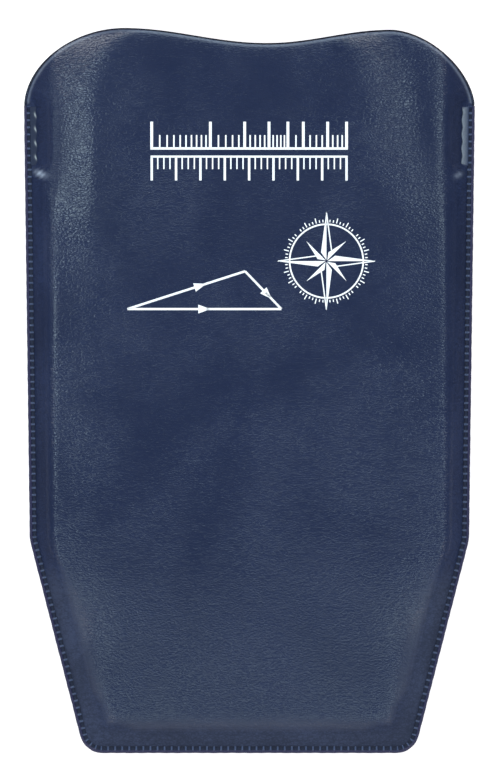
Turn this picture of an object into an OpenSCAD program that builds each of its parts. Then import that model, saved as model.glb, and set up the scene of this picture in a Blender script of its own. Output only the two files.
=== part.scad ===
// Slide-type flight computer in its soft welded pouch.
// The pouch lies on its back: X runs across it, +Y towards its mouth, +Z up through its thickness.
// The origin is at the centre of the pouch's outline, on the surface that it lies on.

/* [Pouch outline] */
// Height from the bottom edge to the top of the lips
pouch_h = 250; // [246:1:260]
// Width where the side welds end, at the mouth
mouth_w = 155.4; // [154:0.2:160]
// Width at the knees, where the sides begin to taper
knee_w = 151.4; // [150:0.2:156]
// Width of the bottom edge, measured between its sharp corners
foot_w = 113.6; // [112:0.2:118]
// Height of the knees above the bottom edge
knee_h = 73.5; // [70:0.5:76]
// Height of the free lips above the side welds
lip_h = 27; // [24:0.5:30]
// Distance between the highest points of the lips
lip_peaks = 82.8; // [70:0.2:90]
// Depth of the thumb dip between those points
lip_dip = 5; // [3:0.5:6]
// Radius of the two bottom corners
foot_r = 8; // [6:0.5:10]
// Radius of the two knees
knee_r = 12; // [8:1:20]

/* [Pouch sheets and welds] */
// Thickness of each leatherette sheet
skin_t = 0.7; // [0.5:0.1:0.8]
// Thickness of each lining
lining_t = 0.25; // [0.2:0.05:0.3]
// Width of the melted bead round the edge
bead_w = 1.0; // [0.6:0.1:1.2]
// Width of the whole weld, bead and stitch marks together
weld_w = 2.3; // [2.2:0.1:2.6]
// Width of the reinforcing weld at each end of the mouth
pad_w = 3.2; // [3:0.1:4]
// Length of that reinforcing weld
pad_h = 20; // [16:1:24]
// Thickness of that reinforcing weld above the back sheet
pad_t = 0.5; // [0.4:0.1:0.6]

/* [Computer frame] */
// Width of the frame
frame_w = 134; // [133:1:136]
// Height of the frame
frame_h = 174; // [170:1:176]
// Gap between the frame's top edge and the top of the lips
frame_drop = 13; // [11:1:15]
// Radius of the frame's upper corners
frame_top_r = 24; // [20:1:30]
// Radius of the frame's lower corners
frame_foot_r = 13; // [12:1:18]
// Radius of the thumb notch in the frame's top edge
notch_r = 22; // [18:1:26]
// Depth of that notch
notch_depth = 9; // [6:1:11]
// Height of both dials' centre above the frame's bottom edge
dial_h = 100; // [96:1:104]

/* [Computer layers] */
// Thickness of the plate on the wind side
wind_plate_t = 1.0; // [0.8:0.1:1]
// Height of the channel that the slide runs in
channel_t = 1.2; // [1.1:0.1:1.3]
// Thickness of the plate under the calculator disc
base_plate_t = 0.8; // [0.7:0.1:0.8]
// Thickness of the plate that carries the fixed scale
scale_plate_t = 0.8; // [0.7:0.1:0.8]

/* [Dials] */
// Radius of the calculator disc
disc_r = 50; // [46:1:51]
// Radius of the visible face of the azimuth ring
azimuth_r = 53.9; // [52:0.1:54]
// How far the azimuth ring's hidden flange stands out
azimuth_flange = 2.9; // [2:0.1:3]
// Radius of the clear opening inside the azimuth ring
window_r = 43; // [40:1:45]
// Width of the ledge that the window is bonded to
window_ledge = 2.5; // [2:0.1:3]

/* [Slide] */
// Width of the slide
slide_w = 100; // [98:0.5:101]
// Length of the slide
slide_h = 225; // [215:1:226]
// Thickness of the slide
slide_t = 1.0; // [0.8:0.1:1]
// Radius of the slide's corners
slide_r = 8; // [6:1:10]
// Gap between the slide's top edge and the frame's top edge
slide_drop = 2; // [1:0.5:3]

/* [Eyelets] */
// Outer radius of a frame eyelet's barrel
eyelet_r = 1.4; // [1.2:0.1:1.6]
// Radius of its bore
eyelet_bore_r = 0.8; // [0.6:0.1:1]
// Radius of its flange
eyelet_flange_r = 2.5; // [2.2:0.1:2.8]
// Thickness of its flange
eyelet_flange_t = 0.3; // [0.2:0.05:0.3]
// Outer radius of the barrel that the calculator disc turns on
pivot_r = 1.95; // [1.8:0.05:2.2]
// Radius of the pivot eyelet's flanges
pivot_flange_r = 4; // [3.5:0.1:4.5]

/* [Hidden] */
$fn = 96;

NAVY = [0.17, 0.21, 0.34];
LINING_GREY = [0.22, 0.24, 0.30];
IVORY = [0.93, 0.92, 0.87];
WHITE = [0.96, 0.96, 0.95];
NICKEL = [0.78, 0.77, 0.72];
CLEAR = [0.85, 0.92, 0.95, 0.4];
FELT = [0.25, 0.25, 0.25];

arc_steps = 10;      // segments in a rounded corner
lip_steps = 14;      // segments in each curve of the lips
fit = 0.05;          // running clearance
snug = 0.02;         // clearance between pieces that are fixed together
room = 0.3;          // clearance between the computer and the pouch
over = 1;            // how far a cutting shape passes the face that it cuts

// Levels through the thickness, from the surface up
back_z = skin_t;
inside_z = back_z + lining_t;
wind_z = inside_z + room + eyelet_flange_t;
channel_z = wind_z + wind_plate_t;
slide_z = channel_z + (channel_t - slide_t) / 2;
base_z = channel_z + channel_t;
scale_z = base_z + base_plate_t;
face_z = scale_z + scale_plate_t;
pivot_flange_t = 0.35;
pivot_top_z = face_z + fit + pivot_flange_t;
ceiling_z = pivot_top_z + room;

// Places in the plane
foot_y = -pouch_h / 2;
lip_y = pouch_h / 2;
knee_y = foot_y + knee_h;
mouth_y = lip_y - lip_h;
frame_top_y = lip_y - frame_drop;
frame_foot_y = frame_top_y - frame_h;
dial_y = frame_foot_y + dial_h;
slide_top_y = frame_top_y - slide_drop;
slide_foot_y = slide_top_y - slide_h;

// The tent is the space that the front sheet leaves over the computer.
tent_inset = bead_w + pad_w + 0.6;
tent_slide_z = slide_z + slide_t + 0.4;
tent_gap = 0.4;
tent_past_lips = 8;

// The azimuth ring is captured between a lip of the wind plate and a retaining ring.
azimuth_lip_t = 0.4;
azimuth_hole_r = azimuth_r + 0.08;
azimuth_flange_r = azimuth_r + azimuth_flange;
azimuth_seat_r = azimuth_flange_r + 0.2;
azimuth_flange_z = wind_z + azimuth_lip_t + fit;
azimuth_flange_t = 0.3;
retaining_ring_t = 0.2;
retaining_ring_w = 1.8;
window_t = 0.4;

washer_t = 0.1;
washer_r = 7;
disc_z = scale_z + washer_t + fit;
disc_gap = 0.3;

// Arc-shaped windows in the calculator disc: [mean radius, width, start angle, end angle]
disc_windows = [[27, 6, 198, 258], [27, 6, 282, 342], [33, 4.5, 70, 110]];

// Centres of the frame eyelets on the right-hand side
eyelet_places = [
    [frame_w / 2 - 5.5, frame_foot_y + 22],
    [frame_w / 2 - 5.5, frame_foot_y + 64],
    [frame_w / 2 - 5.5, dial_y + 32],
    [frame_w / 2 - 12, frame_top_y - 10],
];

function unit(v) = v / norm(v);

// The points of an arc of radius r that rounds the corner b between a and c
function rounded(a, b, c, r, n = arc_steps) =
    let (u = unit(a - b), v = unit(c - b))
    let (half = acos(u * v) / 2)
    let (centre = b + unit(u + v) * r / sin(half))
    let (p = b + u * r / tan(half) - centre, q = b + v * r / tan(half) - centre)
    let (start = atan2(p.y, p.x), turn = atan2(p.x * q.y - p.y * q.x, p * q))
    [for (i = [0 : n]) centre + r * [cos(start + turn * i / n), sin(start + turn * i / n)]];

function mirrored(points) = [for (i = [len(points) - 1 : -1 : 0]) [-points[i].x, points[i].y]];

// A rectangle about x = 0, from y0 up to y1, with its own radius at the foot and at the top
function round_box(w, y0, y1, r0, r1) =
    let (foot = [w / 2, y0], top = [w / 2, y1])
    let (right = concat(rounded([0, y0], foot, top, r0), rounded(foot, top, [0, y1], r1)))
    concat(right, mirrored(right));

// Points moved d inwards from a closed outline that runs anticlockwise
function inset(points, d) =
    let (n = len(points))
    [for (i = [0 : n - 1])
        let (a = unit(points[i] - points[(i + n - 1) % n]), b = unit(points[(i + 1) % n] - points[i]))
        let (na = [-a.y, a.x], nb = [-b.y, b.x])
        points[i] + d * (na + nb) / (1 + na * nb)];

// The right-hand side of the pouch from its bottom edge to the end of the side weld
function side_points() =
    let (foot = [foot_w / 2, foot_y], knee = [knee_w / 2, knee_y], mouth = [mouth_w / 2, mouth_y])
    concat(rounded([0, foot_y], foot, knee, foot_r), rounded(foot, knee, mouth, knee_r), [mouth]);

// The right-hand lip: an elliptical shoulder, then half a cosine wave down to the thumb dip
function lip_points() =
    let (peak_x = lip_peaks / 2, shoulder = mouth_w / 2 - peak_x)
    concat(
        [for (i = [1 : lip_steps]) let (a = 90 * i / lip_steps)
            [peak_x + shoulder * cos(a), mouth_y + lip_h * sin(a)]],
        [for (i = [1 : lip_steps - 1]) let (t = i / lip_steps)
            [peak_x * (1 - t), lip_y - lip_dip * (1 - cos(180 * t)) / 2]]);

function pouch_points() =
    let (right = concat(side_points(), lip_points()))
    concat(right, [[0, lip_y - lip_dip]], mirrored(right));

// The outline of the welded part, carried straight on past the lips
function tent_points(d) =
    let (right = concat(side_points(), [[mouth_w / 2, lip_y + tent_past_lips]]))
    inset(concat(right, mirrored(right)), d);

module slab(points, z, t) {
    translate([0, 0, z])
        linear_extrude(t)
            polygon(points);
}

// Everything below the end of the side welds
module welded_zone() {
    translate([-mouth_w, foot_y - over, -over])
        cube([2 * mouth_w, mouth_y - foot_y + over, ceiling_z + 4 * over]);
}

// The length of the reinforcing weld on one side: side is -1 for left, 1 for right
module pad_zone(side) {
    x = side > 0 ? 0 : -mouth_w;
    translate([x, mouth_y - pad_h, -over])
        cube([mouth_w, pad_h, ceiling_z + 4 * over]);
}

// The strip between two insets of the outline
module strip(outer, inner, z, t) {
    difference() {
        slab(outer == 0 ? pouch_points() : inset(pouch_points(), outer), z, t);
        slab(inset(pouch_points(), inner), z - over, t + 2 * over);
    }
}

module pad_shape(side, z, t, grow = 0) {
    intersection() {
        strip(bead_w, bead_w + pad_w + grow, z, t);
        pad_zone(side);
    }
}

module edge_bead(z, t) {
    intersection() {
        strip(0, bead_w, z, t);
        welded_zone();
    }
}

// The space under the front sheet, grown by g to make room for the sheets themselves
module tent(g) {
    thin = 0.01;
    frame_box = round_box(frame_w + 2 * (tent_gap + g), frame_foot_y - tent_gap - g,
                          lip_y + tent_past_lips, frame_foot_r, over);
    slide_box = round_box(slide_w + 2 * (tent_gap + g), slide_foot_y - tent_gap - g,
                          lip_y + tent_past_lips, slide_r, over);
    hull() {
        slab(tent_points(tent_inset - g), inside_z, thin);
        slab(slide_box, tent_slide_z + g - thin, thin);
        slab(frame_box, ceiling_z + g - thin, thin);
    }
}

// A sheet of thickness t that lies over the tent grown by g
module tent_sheet(g, t) {
    intersection() {
        difference() {
            tent(g + t);
            tent(g);
        }
        slab(pouch_points(), inside_z, ceiling_z + 4 * over);
    }
}

module back_panel() color(NAVY) {
    difference() {
        slab(pouch_points(), 0, skin_t);
        edge_bead(-over, skin_t + 2 * over);
    }
}

module back_lining() color(LINING_GREY) {
    difference() {
        slab(inset(pouch_points(), weld_w + 0.2), back_z, lining_t);
        pad_shape(1, back_z - over, lining_t + 2 * over, 0.1);
        pad_shape(-1, back_z - over, lining_t + 2 * over, 0.1);
    }
}

module front_lining() color(LINING_GREY)
    tent_sheet(0, lining_t);

module front_panel() color(NAVY) {
    difference() {
        union() {
            tent_sheet(lining_t, skin_t);
            difference() {
                slab(pouch_points(), back_z, skin_t);
                slab(inset(pouch_points(), weld_w), back_z - over, lining_t + over);
                tent(lining_t);
            }
        }
        edge_bead(back_z - over, skin_t + 2 * over);
        pad_shape(1, back_z - over, skin_t + 2 * over);
        pad_shape(-1, back_z - over, skin_t + 2 * over);
    }
}

module edge_weld() color(NAVY)
    edge_bead(0, 2 * skin_t);

module mouth_weld(side) color(NAVY)
    pad_shape(side, back_z, pad_t);

// Bores for the frame eyelets, through every layer
module eyelet_bores() {
    for (p = eyelet_places, side = [-1, 1])
        translate([side * p.x, p.y, wind_z - over])
            cylinder(h = face_z - wind_z + 2 * over, r = eyelet_r + snug);
}

// One layer of the frame, with its thumb notch and eyelet bores
module frame_layer(z, t) {
    difference() {
        slab(round_box(frame_w, frame_foot_y, frame_top_y, frame_foot_r, frame_top_r), z, t);
        translate([0, frame_top_y + notch_r - notch_depth, z - over])
            cylinder(h = t + 2 * over, r = notch_r);
        eyelet_bores();
    }
}

module at_dial(z)
    translate([0, dial_y, z])
        children();

module wind_plate() color(IVORY) {
    difference() {
        frame_layer(wind_z, wind_plate_t);
        at_dial(wind_z - over) cylinder(h = wind_plate_t + 2 * over, r = azimuth_hole_r);
        at_dial(wind_z + azimuth_lip_t) cylinder(h = wind_plate_t, r = azimuth_seat_r);
    }
}

module rail(side) color(IVORY) {
    x = slide_w / 2 + room;
    intersection() {
        frame_layer(channel_z, channel_t);
        translate([side > 0 ? x : -x - frame_w, frame_foot_y - over, channel_z - over])
            cube([frame_w, frame_h + 2 * over, channel_t + 2 * over]);
    }
}

module calculator_plate() color(IVORY) {
    difference() {
        frame_layer(base_z, base_plate_t);
        at_dial(base_z - over) cylinder(h = base_plate_t + 2 * over, r = pivot_r + snug);
        at_dial(base_z - over) cylinder(h = pivot_flange_t + over, r = pivot_flange_r + snug);
    }
}

module fixed_scale_plate() color(IVORY) {
    difference() {
        frame_layer(scale_z, scale_plate_t);
        at_dial(scale_z - over) cylinder(h = scale_plate_t + 2 * over, r = disc_r + disc_gap);
    }
}

module ring(r0, r1, t) {
    difference() {
        cylinder(h = t, r = r1);
        translate([0, 0, -over]) cylinder(h = t + 2 * over, r = r0);
    }
}

module azimuth_retaining_ring() color(NICKEL)
    at_dial(channel_z - retaining_ring_t)
        ring(azimuth_seat_r - snug - retaining_ring_w, azimuth_seat_r - snug, retaining_ring_t);

module disc_friction_washer() color(FELT)
    at_dial(scale_z) ring(pivot_r + fit, washer_r, washer_t);

module pivot_eyelet() color(NICKEL) {
    bore_r = pivot_r - 0.6;
    at_dial(base_z) difference() {
        union() {
            cylinder(h = pivot_flange_t, r = pivot_flange_r);
            cylinder(h = pivot_top_z - base_z, r = pivot_r);
            translate([0, 0, face_z + fit - base_z]) cylinder(h = pivot_flange_t, r = pivot_flange_r);
        }
        translate([0, 0, -over]) cylinder(h = pivot_top_z - base_z + 2 * over, r = bore_r);
    }
}

module eyelet(p) {
    length = face_z - wind_z;
    translate([p.x, p.y, wind_z]) difference() {
        union() {
            cylinder(h = length, r = eyelet_r);
            translate([0, 0, -eyelet_flange_t]) cylinder(h = eyelet_flange_t, r = eyelet_flange_r);
            translate([0, 0, length]) cylinder(h = eyelet_flange_t, r = eyelet_flange_r);
        }
        translate([0, 0, -over]) cylinder(h = length + 2 * over, r = eyelet_bore_r);
    }
}

module frame_eyelets() color(NICKEL) {
    for (p = eyelet_places, side = [-1, 1])
        eyelet([side * p.x, p.y]);
}

// A curved slot with square ends, in the plane of the disc
module arc_slot(mean_r, w, a0, a1, t) {
    rotate([0, 0, a0])
        rotate_extrude(angle = a1 - a0)
            translate([mean_r - w / 2, 0])
                square([w, t]);
}

module calculator_disc() color(WHITE) {
    t = face_z - disc_z;
    at_dial(disc_z) difference() {
        cylinder(h = t, r = disc_r);
        translate([0, 0, -over]) cylinder(h = t + 2 * over, r = pivot_r + fit);
        for (w = disc_windows)
            translate([0, 0, -over]) arc_slot(w[0], w[1], w[2], w[3], t + 2 * over);
    }
}

module azimuth_ring() color(WHITE) {
    low = fit;
    mid = azimuth_flange_z - wind_z;
    top = mid + azimuth_flange_t;
    at_dial(wind_z)
        rotate_extrude()
            polygon([
                [window_r, low], [azimuth_r, low], [azimuth_r, mid], [azimuth_flange_r, mid],
                [azimuth_flange_r, top], [window_r + window_ledge, top],
                [window_r + window_ledge, mid], [window_r, mid],
            ]);
}

module plotting_window() color(CLEAR) {
    at_dial(azimuth_flange_z) difference() {
        cylinder(h = window_t, r = window_r + window_ledge - snug);
        translate([0, 0, -over]) cylinder(h = window_t + 2 * over, r = 1 + snug);
    }
}

module window_centre_eyelet() color(NICKEL) {
    head_t = 0.15;
    at_dial(azimuth_flange_z) difference() {
        union() {
            translate([0, 0, -head_t]) cylinder(h = head_t, r = 1.8);
            cylinder(h = window_t + head_t, r = 1);
            translate([0, 0, window_t]) cylinder(h = head_t, r = 1.5);
        }
        translate([0, 0, -over]) cylinder(h = window_t + 2 * over, r = 0.55);
    }
}

module wind_slide() color(WHITE)
    slab(round_box(slide_w, slide_foot_y, slide_top_y, slide_r, slide_r), slide_z, slide_t);

back_panel();
front_panel();
back_lining();
front_lining();
edge_weld();
mouth_weld(-1);  // mouth_weld_left
mouth_weld(1);  // mouth_weld_right
wind_plate();
rail(-1);  // rail_left
rail(1);  // rail_right
calculator_plate();
fixed_scale_plate();
azimuth_retaining_ring();
disc_friction_washer();
pivot_eyelet();
frame_eyelets();
calculator_disc();
azimuth_ring();
plotting_window();
window_centre_eyelet();
wind_slide();
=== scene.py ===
"""Looks for a slide-type flight computer in its welded pouch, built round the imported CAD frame.

Lengths in the script are millimetres, in the row frame, and are turned into metres where a mesh is made.
The pouch's soft sheets, weld and print are built here. The computer keeps its CAD plates and gets
its scales.
"""

import math

import bmesh
import bpy
import numpy as np
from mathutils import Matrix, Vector, geometry
from mathutils.kdtree import KDTree


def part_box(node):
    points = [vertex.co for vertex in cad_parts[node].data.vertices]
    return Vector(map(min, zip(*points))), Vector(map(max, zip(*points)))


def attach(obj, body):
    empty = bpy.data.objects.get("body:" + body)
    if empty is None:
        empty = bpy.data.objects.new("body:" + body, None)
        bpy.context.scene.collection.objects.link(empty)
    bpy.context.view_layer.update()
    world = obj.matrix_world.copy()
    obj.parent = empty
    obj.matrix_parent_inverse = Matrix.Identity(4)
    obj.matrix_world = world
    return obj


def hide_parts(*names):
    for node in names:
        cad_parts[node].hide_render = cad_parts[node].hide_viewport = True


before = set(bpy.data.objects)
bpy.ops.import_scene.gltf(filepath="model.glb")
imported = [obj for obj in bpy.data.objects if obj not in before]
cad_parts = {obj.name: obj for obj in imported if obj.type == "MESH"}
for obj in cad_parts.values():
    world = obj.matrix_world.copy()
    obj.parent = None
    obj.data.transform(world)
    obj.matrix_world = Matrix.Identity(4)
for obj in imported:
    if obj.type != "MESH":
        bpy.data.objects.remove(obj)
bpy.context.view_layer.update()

MM = 0.001


# ---- sizes

def node_box(name):
    """Lowest and highest corner of a CAD node, in millimetres."""
    low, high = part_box(name)
    return np.array(low) / MM, np.array(high) / MM


weld_low, weld_high = node_box("edge_weld")
panel_high = node_box("back_panel")[1]
plate_low, plate_high = node_box("wind_plate")
slide_low, slide_high = node_box("wind_slide")
disc_low, disc_high = node_box("calculator_disc")
scale_top, base_top = (node_box(name)[1][2] for name in ("fixed_scale_plate", "calculator_plate"))
ring_bottom = node_box("azimuth_ring")[0][2]

foot_y, lip_y, mouth_y = weld_low[1], panel_high[1], weld_high[1]
mouth_half = weld_high[0]
sheet_t = panel_high[2]  # thickness of one leatherette sheet
lining_t = 0.25
dial_x, dial_y = (disc_low[:2] + disc_high[:2]) / 2
disc_r = disc_high[0] - dial_x

# The pouch's outline: the welded edge is the CAD's, and the two unlike lips follow the photo
knee_half, knee_y = 75.7, foot_y + 73.5
foot_half = 56.8
foot_r, knee_r = 8.0, 12.0
right_peak_x, left_peak_x = 49.0, 43.5
right_round, left_round = 1.7, 1.9  # powers of the shoulders' superellipses; 2 is a true ellipse
right_peak_drop = 0.6  # the right lip is a little lower than the left one
lip_dip_x, lip_dip = 6.0, 5.2  # the thumb dip sits a little to the right of the middle

# The weld
weld_width = 2.3  # from the edge to where the front sheet leaves the weld
stitch_pitch = 2.44
stitch_gap = 0.40  # length of the raised rib between two stitch marks
pad_width, pad_length = 4.1, 20.6
pad_nick_pitch = 2 * stitch_pitch
fold_gap = 1.6  # from the end of a reinforcing weld to the small fold below it
fold_cos, fold_sin = 0.92, 0.38  # how that fold is turned


# ---- plane curves

def unit(v):
    return v / np.linalg.norm(v)


def rounded(a, b, c, r, n=20):
    """The arc of radius r that rounds corner b between a and c."""
    a, b, c = (np.array(p, float) for p in (a, b, c))
    u, v = unit(a - b), unit(c - b)
    half = math.acos(u @ v) / 2
    centre = b + unit(u + v) * r / math.sin(half)
    p, q = b + u * r / math.tan(half) - centre, b + v * r / math.tan(half) - centre
    start = math.atan2(p[1], p[0])
    turn = math.atan2(p[0] * q[1] - p[1] * q[0], p @ q)
    angles = start + turn * np.linspace(0, 1, n + 1)
    return centre + r * np.stack([np.cos(angles), np.sin(angles)], axis=1)


def mirrored(points):
    return points[::-1] * [-1, 1]


def lengths(points):
    """Distance along a line of points, at each point."""
    steps = np.linalg.norm(np.diff(points, axis=0), axis=1)
    return np.concatenate([[0], np.cumsum(steps)])


def along(points, fractions, s=None):
    """Points at fractions of a line's length, or of another measure s along it."""
    s = lengths(points) if s is None else s
    at = np.asarray(fractions) * s[-1]
    return np.stack([np.interp(at, s, points[:, k]) for k in range(points.shape[1])], axis=1)


def inward(points):
    """Unit normals on the left-hand side of an open line of points."""
    direction = np.gradient(points, axis=0)
    direction /= np.linalg.norm(direction, axis=1)[:, None]
    return np.stack([-direction[:, 1], direction[:, 0]], axis=1)


def smoothstep(x):
    x = np.clip(x, 0, 1)
    return x * x * (3 - 2 * x)


def welded_line(step=0.25):
    """The welded edge, from the mouth's left end to its right end, evenly spaced."""
    foot, knee, mouth = [foot_half, foot_y], [knee_half, knee_y], [mouth_half, mouth_y]
    corners = [rounded([0, foot_y], foot, knee, foot_r), rounded(foot, knee, mouth, knee_r)]
    side = np.concatenate([[[0, foot_y]], *corners, [mouth]])
    whole = np.concatenate([mirrored(side)[:-1], side])
    count = int(round(lengths(whole)[-1] / step))
    return along(whole, np.linspace(0, 1, count + 1))


def lip_line(n=48):
    """The free edge of the lips, from the mouth's right end to its left end."""
    quarter = np.linspace(0, math.pi / 2, n + 1)[:, None]
    turn = np.hstack([np.cos(quarter), np.sin(quarter)])
    turn[-1, 0] = 0
    half = np.linspace(0, 1, n + 1)[1:, None]
    swing = np.hstack([half, (1 - np.cos(math.pi * half)) / 2])

    def shoulder(peak, power):
        return turn ** (2 / power) * [mouth_half - peak[0], peak[1] - mouth_y] + [peak[0], mouth_y]

    right, left = np.array([right_peak_x, lip_y - right_peak_drop]), np.array([left_peak_x, lip_y])
    dip = np.array([lip_dip_x, lip_y - lip_dip])
    return np.concatenate([
        shoulder(right, right_round), right + (dip - right) * swing,
        dip + (left * [-1, 1] - dip) * swing, mirrored(shoulder(left, left_round))[1:],
    ])


edge = welded_line()
edge_s = lengths(edge)
edge_in = inward(edge)
from_end = np.minimum(edge_s, edge_s[-1] - edge_s)
inset_at_edge = weld_width + (pad_width - weld_width) * smoothstep((pad_length + 0.8 - from_end) / 1.6)
weld_inner = edge + edge_in * inset_at_edge[:, None]
lips = lip_line()


# ---- the front sheet's height

def round_box(half_w, y0, y1, r, top_r=1):
    """Points of a rectangle about x = 0, with one radius at its foot and another at its top."""
    right = np.concatenate([rounded([0, y0], [half_w, y0], [half_w, y1], r, 8),
                            rounded([half_w, y0], [half_w, y1], [0, y1], top_r, 8)])
    return np.concatenate([right, mirrored(right)])


class TautSheet:
    """Height of the front sheet's outer face: taut over the computer, softened and arched."""

    cell = 0.5
    softness = 0.9  # blur, in millimetres, beside the frame
    base = 1.36  # where it leaves the weld
    frame_edge = 6.8  # over the plates, the lining and the sheet itself
    plateau = 6.95
    slide_foot = 5.5
    top_y = lip_y + 8  # the height map ends here, past the lips

    def __init__(self):
        supports = [(p[0], p[1], self.base) for p in weld_inner[::8]]
        supports += [(side * (mouth_half - weld_width), self.top_y, self.base) for side in (-1, 1)]
        frame_half, slide_half = plate_high[0] + 1.0, slide_high[0] + 0.8
        over = [  # half width, foot, foot's radius, height
            (frame_half, plate_low[1] - 1.2, 13, self.frame_edge),
            (frame_half - 2, plate_low[1] + 14, 8, self.plateau),
            (slide_half, slide_low[1] - 0.8, 8, self.slide_foot),
        ]
        for half, foot, r, z in over:
            supports += [(x, y, z) for x, y in round_box(half, foot, self.top_y, r)]
        for side in (-1, 1):
            supports.append((side * 50, plate_low[1] - 1, self.plateau - 0.1))
            supports.append((side * 28, plate_low[1] - 20, self.plateau - 0.45))
        self.x0, self.y0 = -mouth_half - 6, foot_y - 6
        nx = int(2 * -self.x0 / self.cell) + 1
        ny = int((self.top_y - self.y0) / self.cell) + 1
        x = self.x0 + self.cell * np.arange(nx)
        y = self.y0 + self.cell * np.arange(ny)
        gx, gy = np.meshgrid(x, y)
        self.tree = self.tree_of(edge)
        self.lip_tree = self.tree_of(along(lips, np.linspace(0, 1, 900)))
        crisp = self.roof(supports, gx, gy)
        soft, softer = self.blurred(crisp, self.softness), self.blurred(crisp, 2.5)
        soft += (softer - soft) * (smoothstep((-62 - gy) / 22) + 0.9 * smoothstep((gy - 52) / 25))
        self.z = crisp + (soft - crisp) * smoothstep(self.inside(gx, gy) / 5)

    @staticmethod
    def tree_of(line):
        tree = KDTree(len(line))
        for i, p in enumerate(line):
            tree.insert((*p, 0), i)
        tree.balance()
        return tree

    def inside(self, x, y):
        """Distance in from the weld's inner edge, or zero over the weld."""
        found = (self.tree.find((a, b, 0)) for a, b in zip(np.ravel(x), np.ravel(y)))
        _, index, away = zip(*found)
        away = np.array(away) - inset_at_edge[list(index)]
        return np.maximum(away, 0).reshape(np.shape(x))

    @staticmethod
    def roof(supports, gx, gy):
        """The lowest of the upper planes of the supports' convex hull."""
        bm = bmesh.new()
        for p in supports:
            bm.verts.new(p)
        bmesh.ops.convex_hull(bm, input=bm.verts)
        roof = np.full(gx.shape, 1e9)
        for face in bm.faces:
            n = face.normal
            if n.z > 0.05:
                c = face.verts[0].co
                roof = np.minimum(roof, c.z - (n.x * (gx - c.x) + n.y * (gy - c.y)) / n.z)
        bm.free()
        return np.maximum(roof, TautSheet.base)

    def blurred(self, z, softness):
        reach = int(3 * softness / self.cell)
        offsets = np.arange(-reach, reach + 1) * self.cell
        kernel = np.exp(-0.5 * (offsets / softness) ** 2)
        kernel /= kernel.sum()
        for axis in (0, 1):
            pad = [(reach, reach) if k == axis else (0, 0) for k in (0, 1)]
            z = np.apply_along_axis(np.convolve, axis, np.pad(z, pad, mode="edge"), kernel, "valid")
        return z

    def sampled(self, x, y):
        fx = np.clip((x - self.x0) / self.cell, 0, self.z.shape[1] - 1.001)
        fy = np.clip((y - self.y0) / self.cell, 0, self.z.shape[0] - 1.001)
        i, j = fx.astype(int), fy.astype(int)
        u, v = fx - i, fy - j
        low = self.z[j, i] * (1 - u) + self.z[j, i + 1] * u
        high = self.z[j + 1, i] * (1 - u) + self.z[j + 1, i + 1] * u
        return low * (1 - v) + high * v

    def arch(self, x, y):
        """The open mouth's flat-topped swell, which dies out beside the frame and lower down."""
        left = 0.25 + 2.6 * smoothstep((y - 36) / 54)
        right = 0.25 + 1.9 * smoothstep((y - 38) / 52)
        height = left + (right - left) * smoothstep((x + 30) / 60)
        up = np.clip((y - mouth_y) / (lip_y - mouth_y), 0, 0.98)
        closing = 21 * (1 - np.sqrt(1 - up ** 2))
        lower = smoothstep((88 - y) / 30)
        start = np.where(x < 0, 52, 38 + 9 * lower) - closing
        run = np.where(x < 0, 20 - 5 * lower, 22)
        return height * (1 - smoothstep((np.abs(x) - start) / run))

    def corner_sag(self, x, y):
        """The unsupported sheet sinks a little outside the frame's lower corners."""
        return 1.6 * np.exp(-((np.abs(x) - 60) / 10) ** 2 - ((y + 86) / 13) ** 2)

    def foot_dip(self, x, y):
        """The three-cornered slope that runs down to the middle of the foot."""
        top = -86 - 30 * (np.abs(x) / 52) ** 1.3
        return 0.022 * 2.5 * np.log1p(np.exp((top - y) / 2.5))

    def waves(self, x, y):
        """Slow, shallow unevenness of a sheet that has been handled."""
        z = 0.10 * np.sin(x / 17 + 0.6 * np.sin(y / 31)) * np.sin(y / 23 + 1.1)
        z += 0.05 * np.sin(x / 9.5 + y / 21 + 0.7) * np.sin(y / 13.5 - x / 37)
        return z

    @staticmethod
    def fold_at(x, y, side, drop):
        """Distances along and across the small fold below a reinforcing weld."""
        dx = (x - side * (mouth_half - pad_width - fold_gap)) * side
        dy = y - (mouth_y - pad_length - drop - fold_gap)
        return dx * fold_cos + dy * fold_sin, dy * fold_cos - dx * fold_sin

    def puckers(self, x, y):
        """The small folds, and the hollows below them."""
        z = np.zeros_like(x)
        for side, drop, lift in ((-1, 1.2, 0.75), (1, 1.6, 0.5)):
            a, b = self.fold_at(x, y, side, drop)
            z += lift * np.exp(-(a / 2.6) ** 2 - (b / 1.0) ** 2)
            z -= 0.5 * lift * np.exp(-(a / 4.5) ** 2 - ((b + 2.4) / 1.4) ** 2)
        return z

    def rubbed(self, x, y):
        """Where the slopes beside the tapered sides and the foot are painted lighter, a painted
        highlight, and are worn rougher by handling.
        """
        return (1 - smoothstep((self.inside(x, y) - 2.5) / 11.0)) * smoothstep((-56 - y) / 14)

    def whitening(self, x, y):
        """A painted highlight along the lips' edge, and on the small folds a paler colour that is their
        stress whitening and a painted highlight.
        """
        pale = 0.28 * np.exp(-((self.below_lip(x, y) - 1.3) / 0.42) ** 2)
        for side, drop, much, wide in ((-1, 1.2, 1.0, 1.9), (1, 1.6, 0.35, 1.4)):
            a, b = self.fold_at(x, y, side, drop)
            pale += much * np.exp(-(a / wide) ** 2 - (b / 0.75) ** 2)
        return pale

    def below_lip(self, x, y):
        """Distance from the free edge of the lips, or 99 well below them."""
        near = np.ravel(y) > mouth_y + 1
        below = np.full(near.shape, 99.0)
        points = zip(np.ravel(x)[near], np.ravel(y)[near])
        below[near] = [self.lip_tree.find((a, b, 0))[2] for a, b in points]
        return below.reshape(np.shape(x))

    def lip_roll(self, x, y):
        """The free edge rolls down a little towards its end."""
        below = self.below_lip(x, y)
        return -0.8 * np.exp(-below / 2.3) - 0.16 * np.exp(-below / 0.6)

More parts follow.
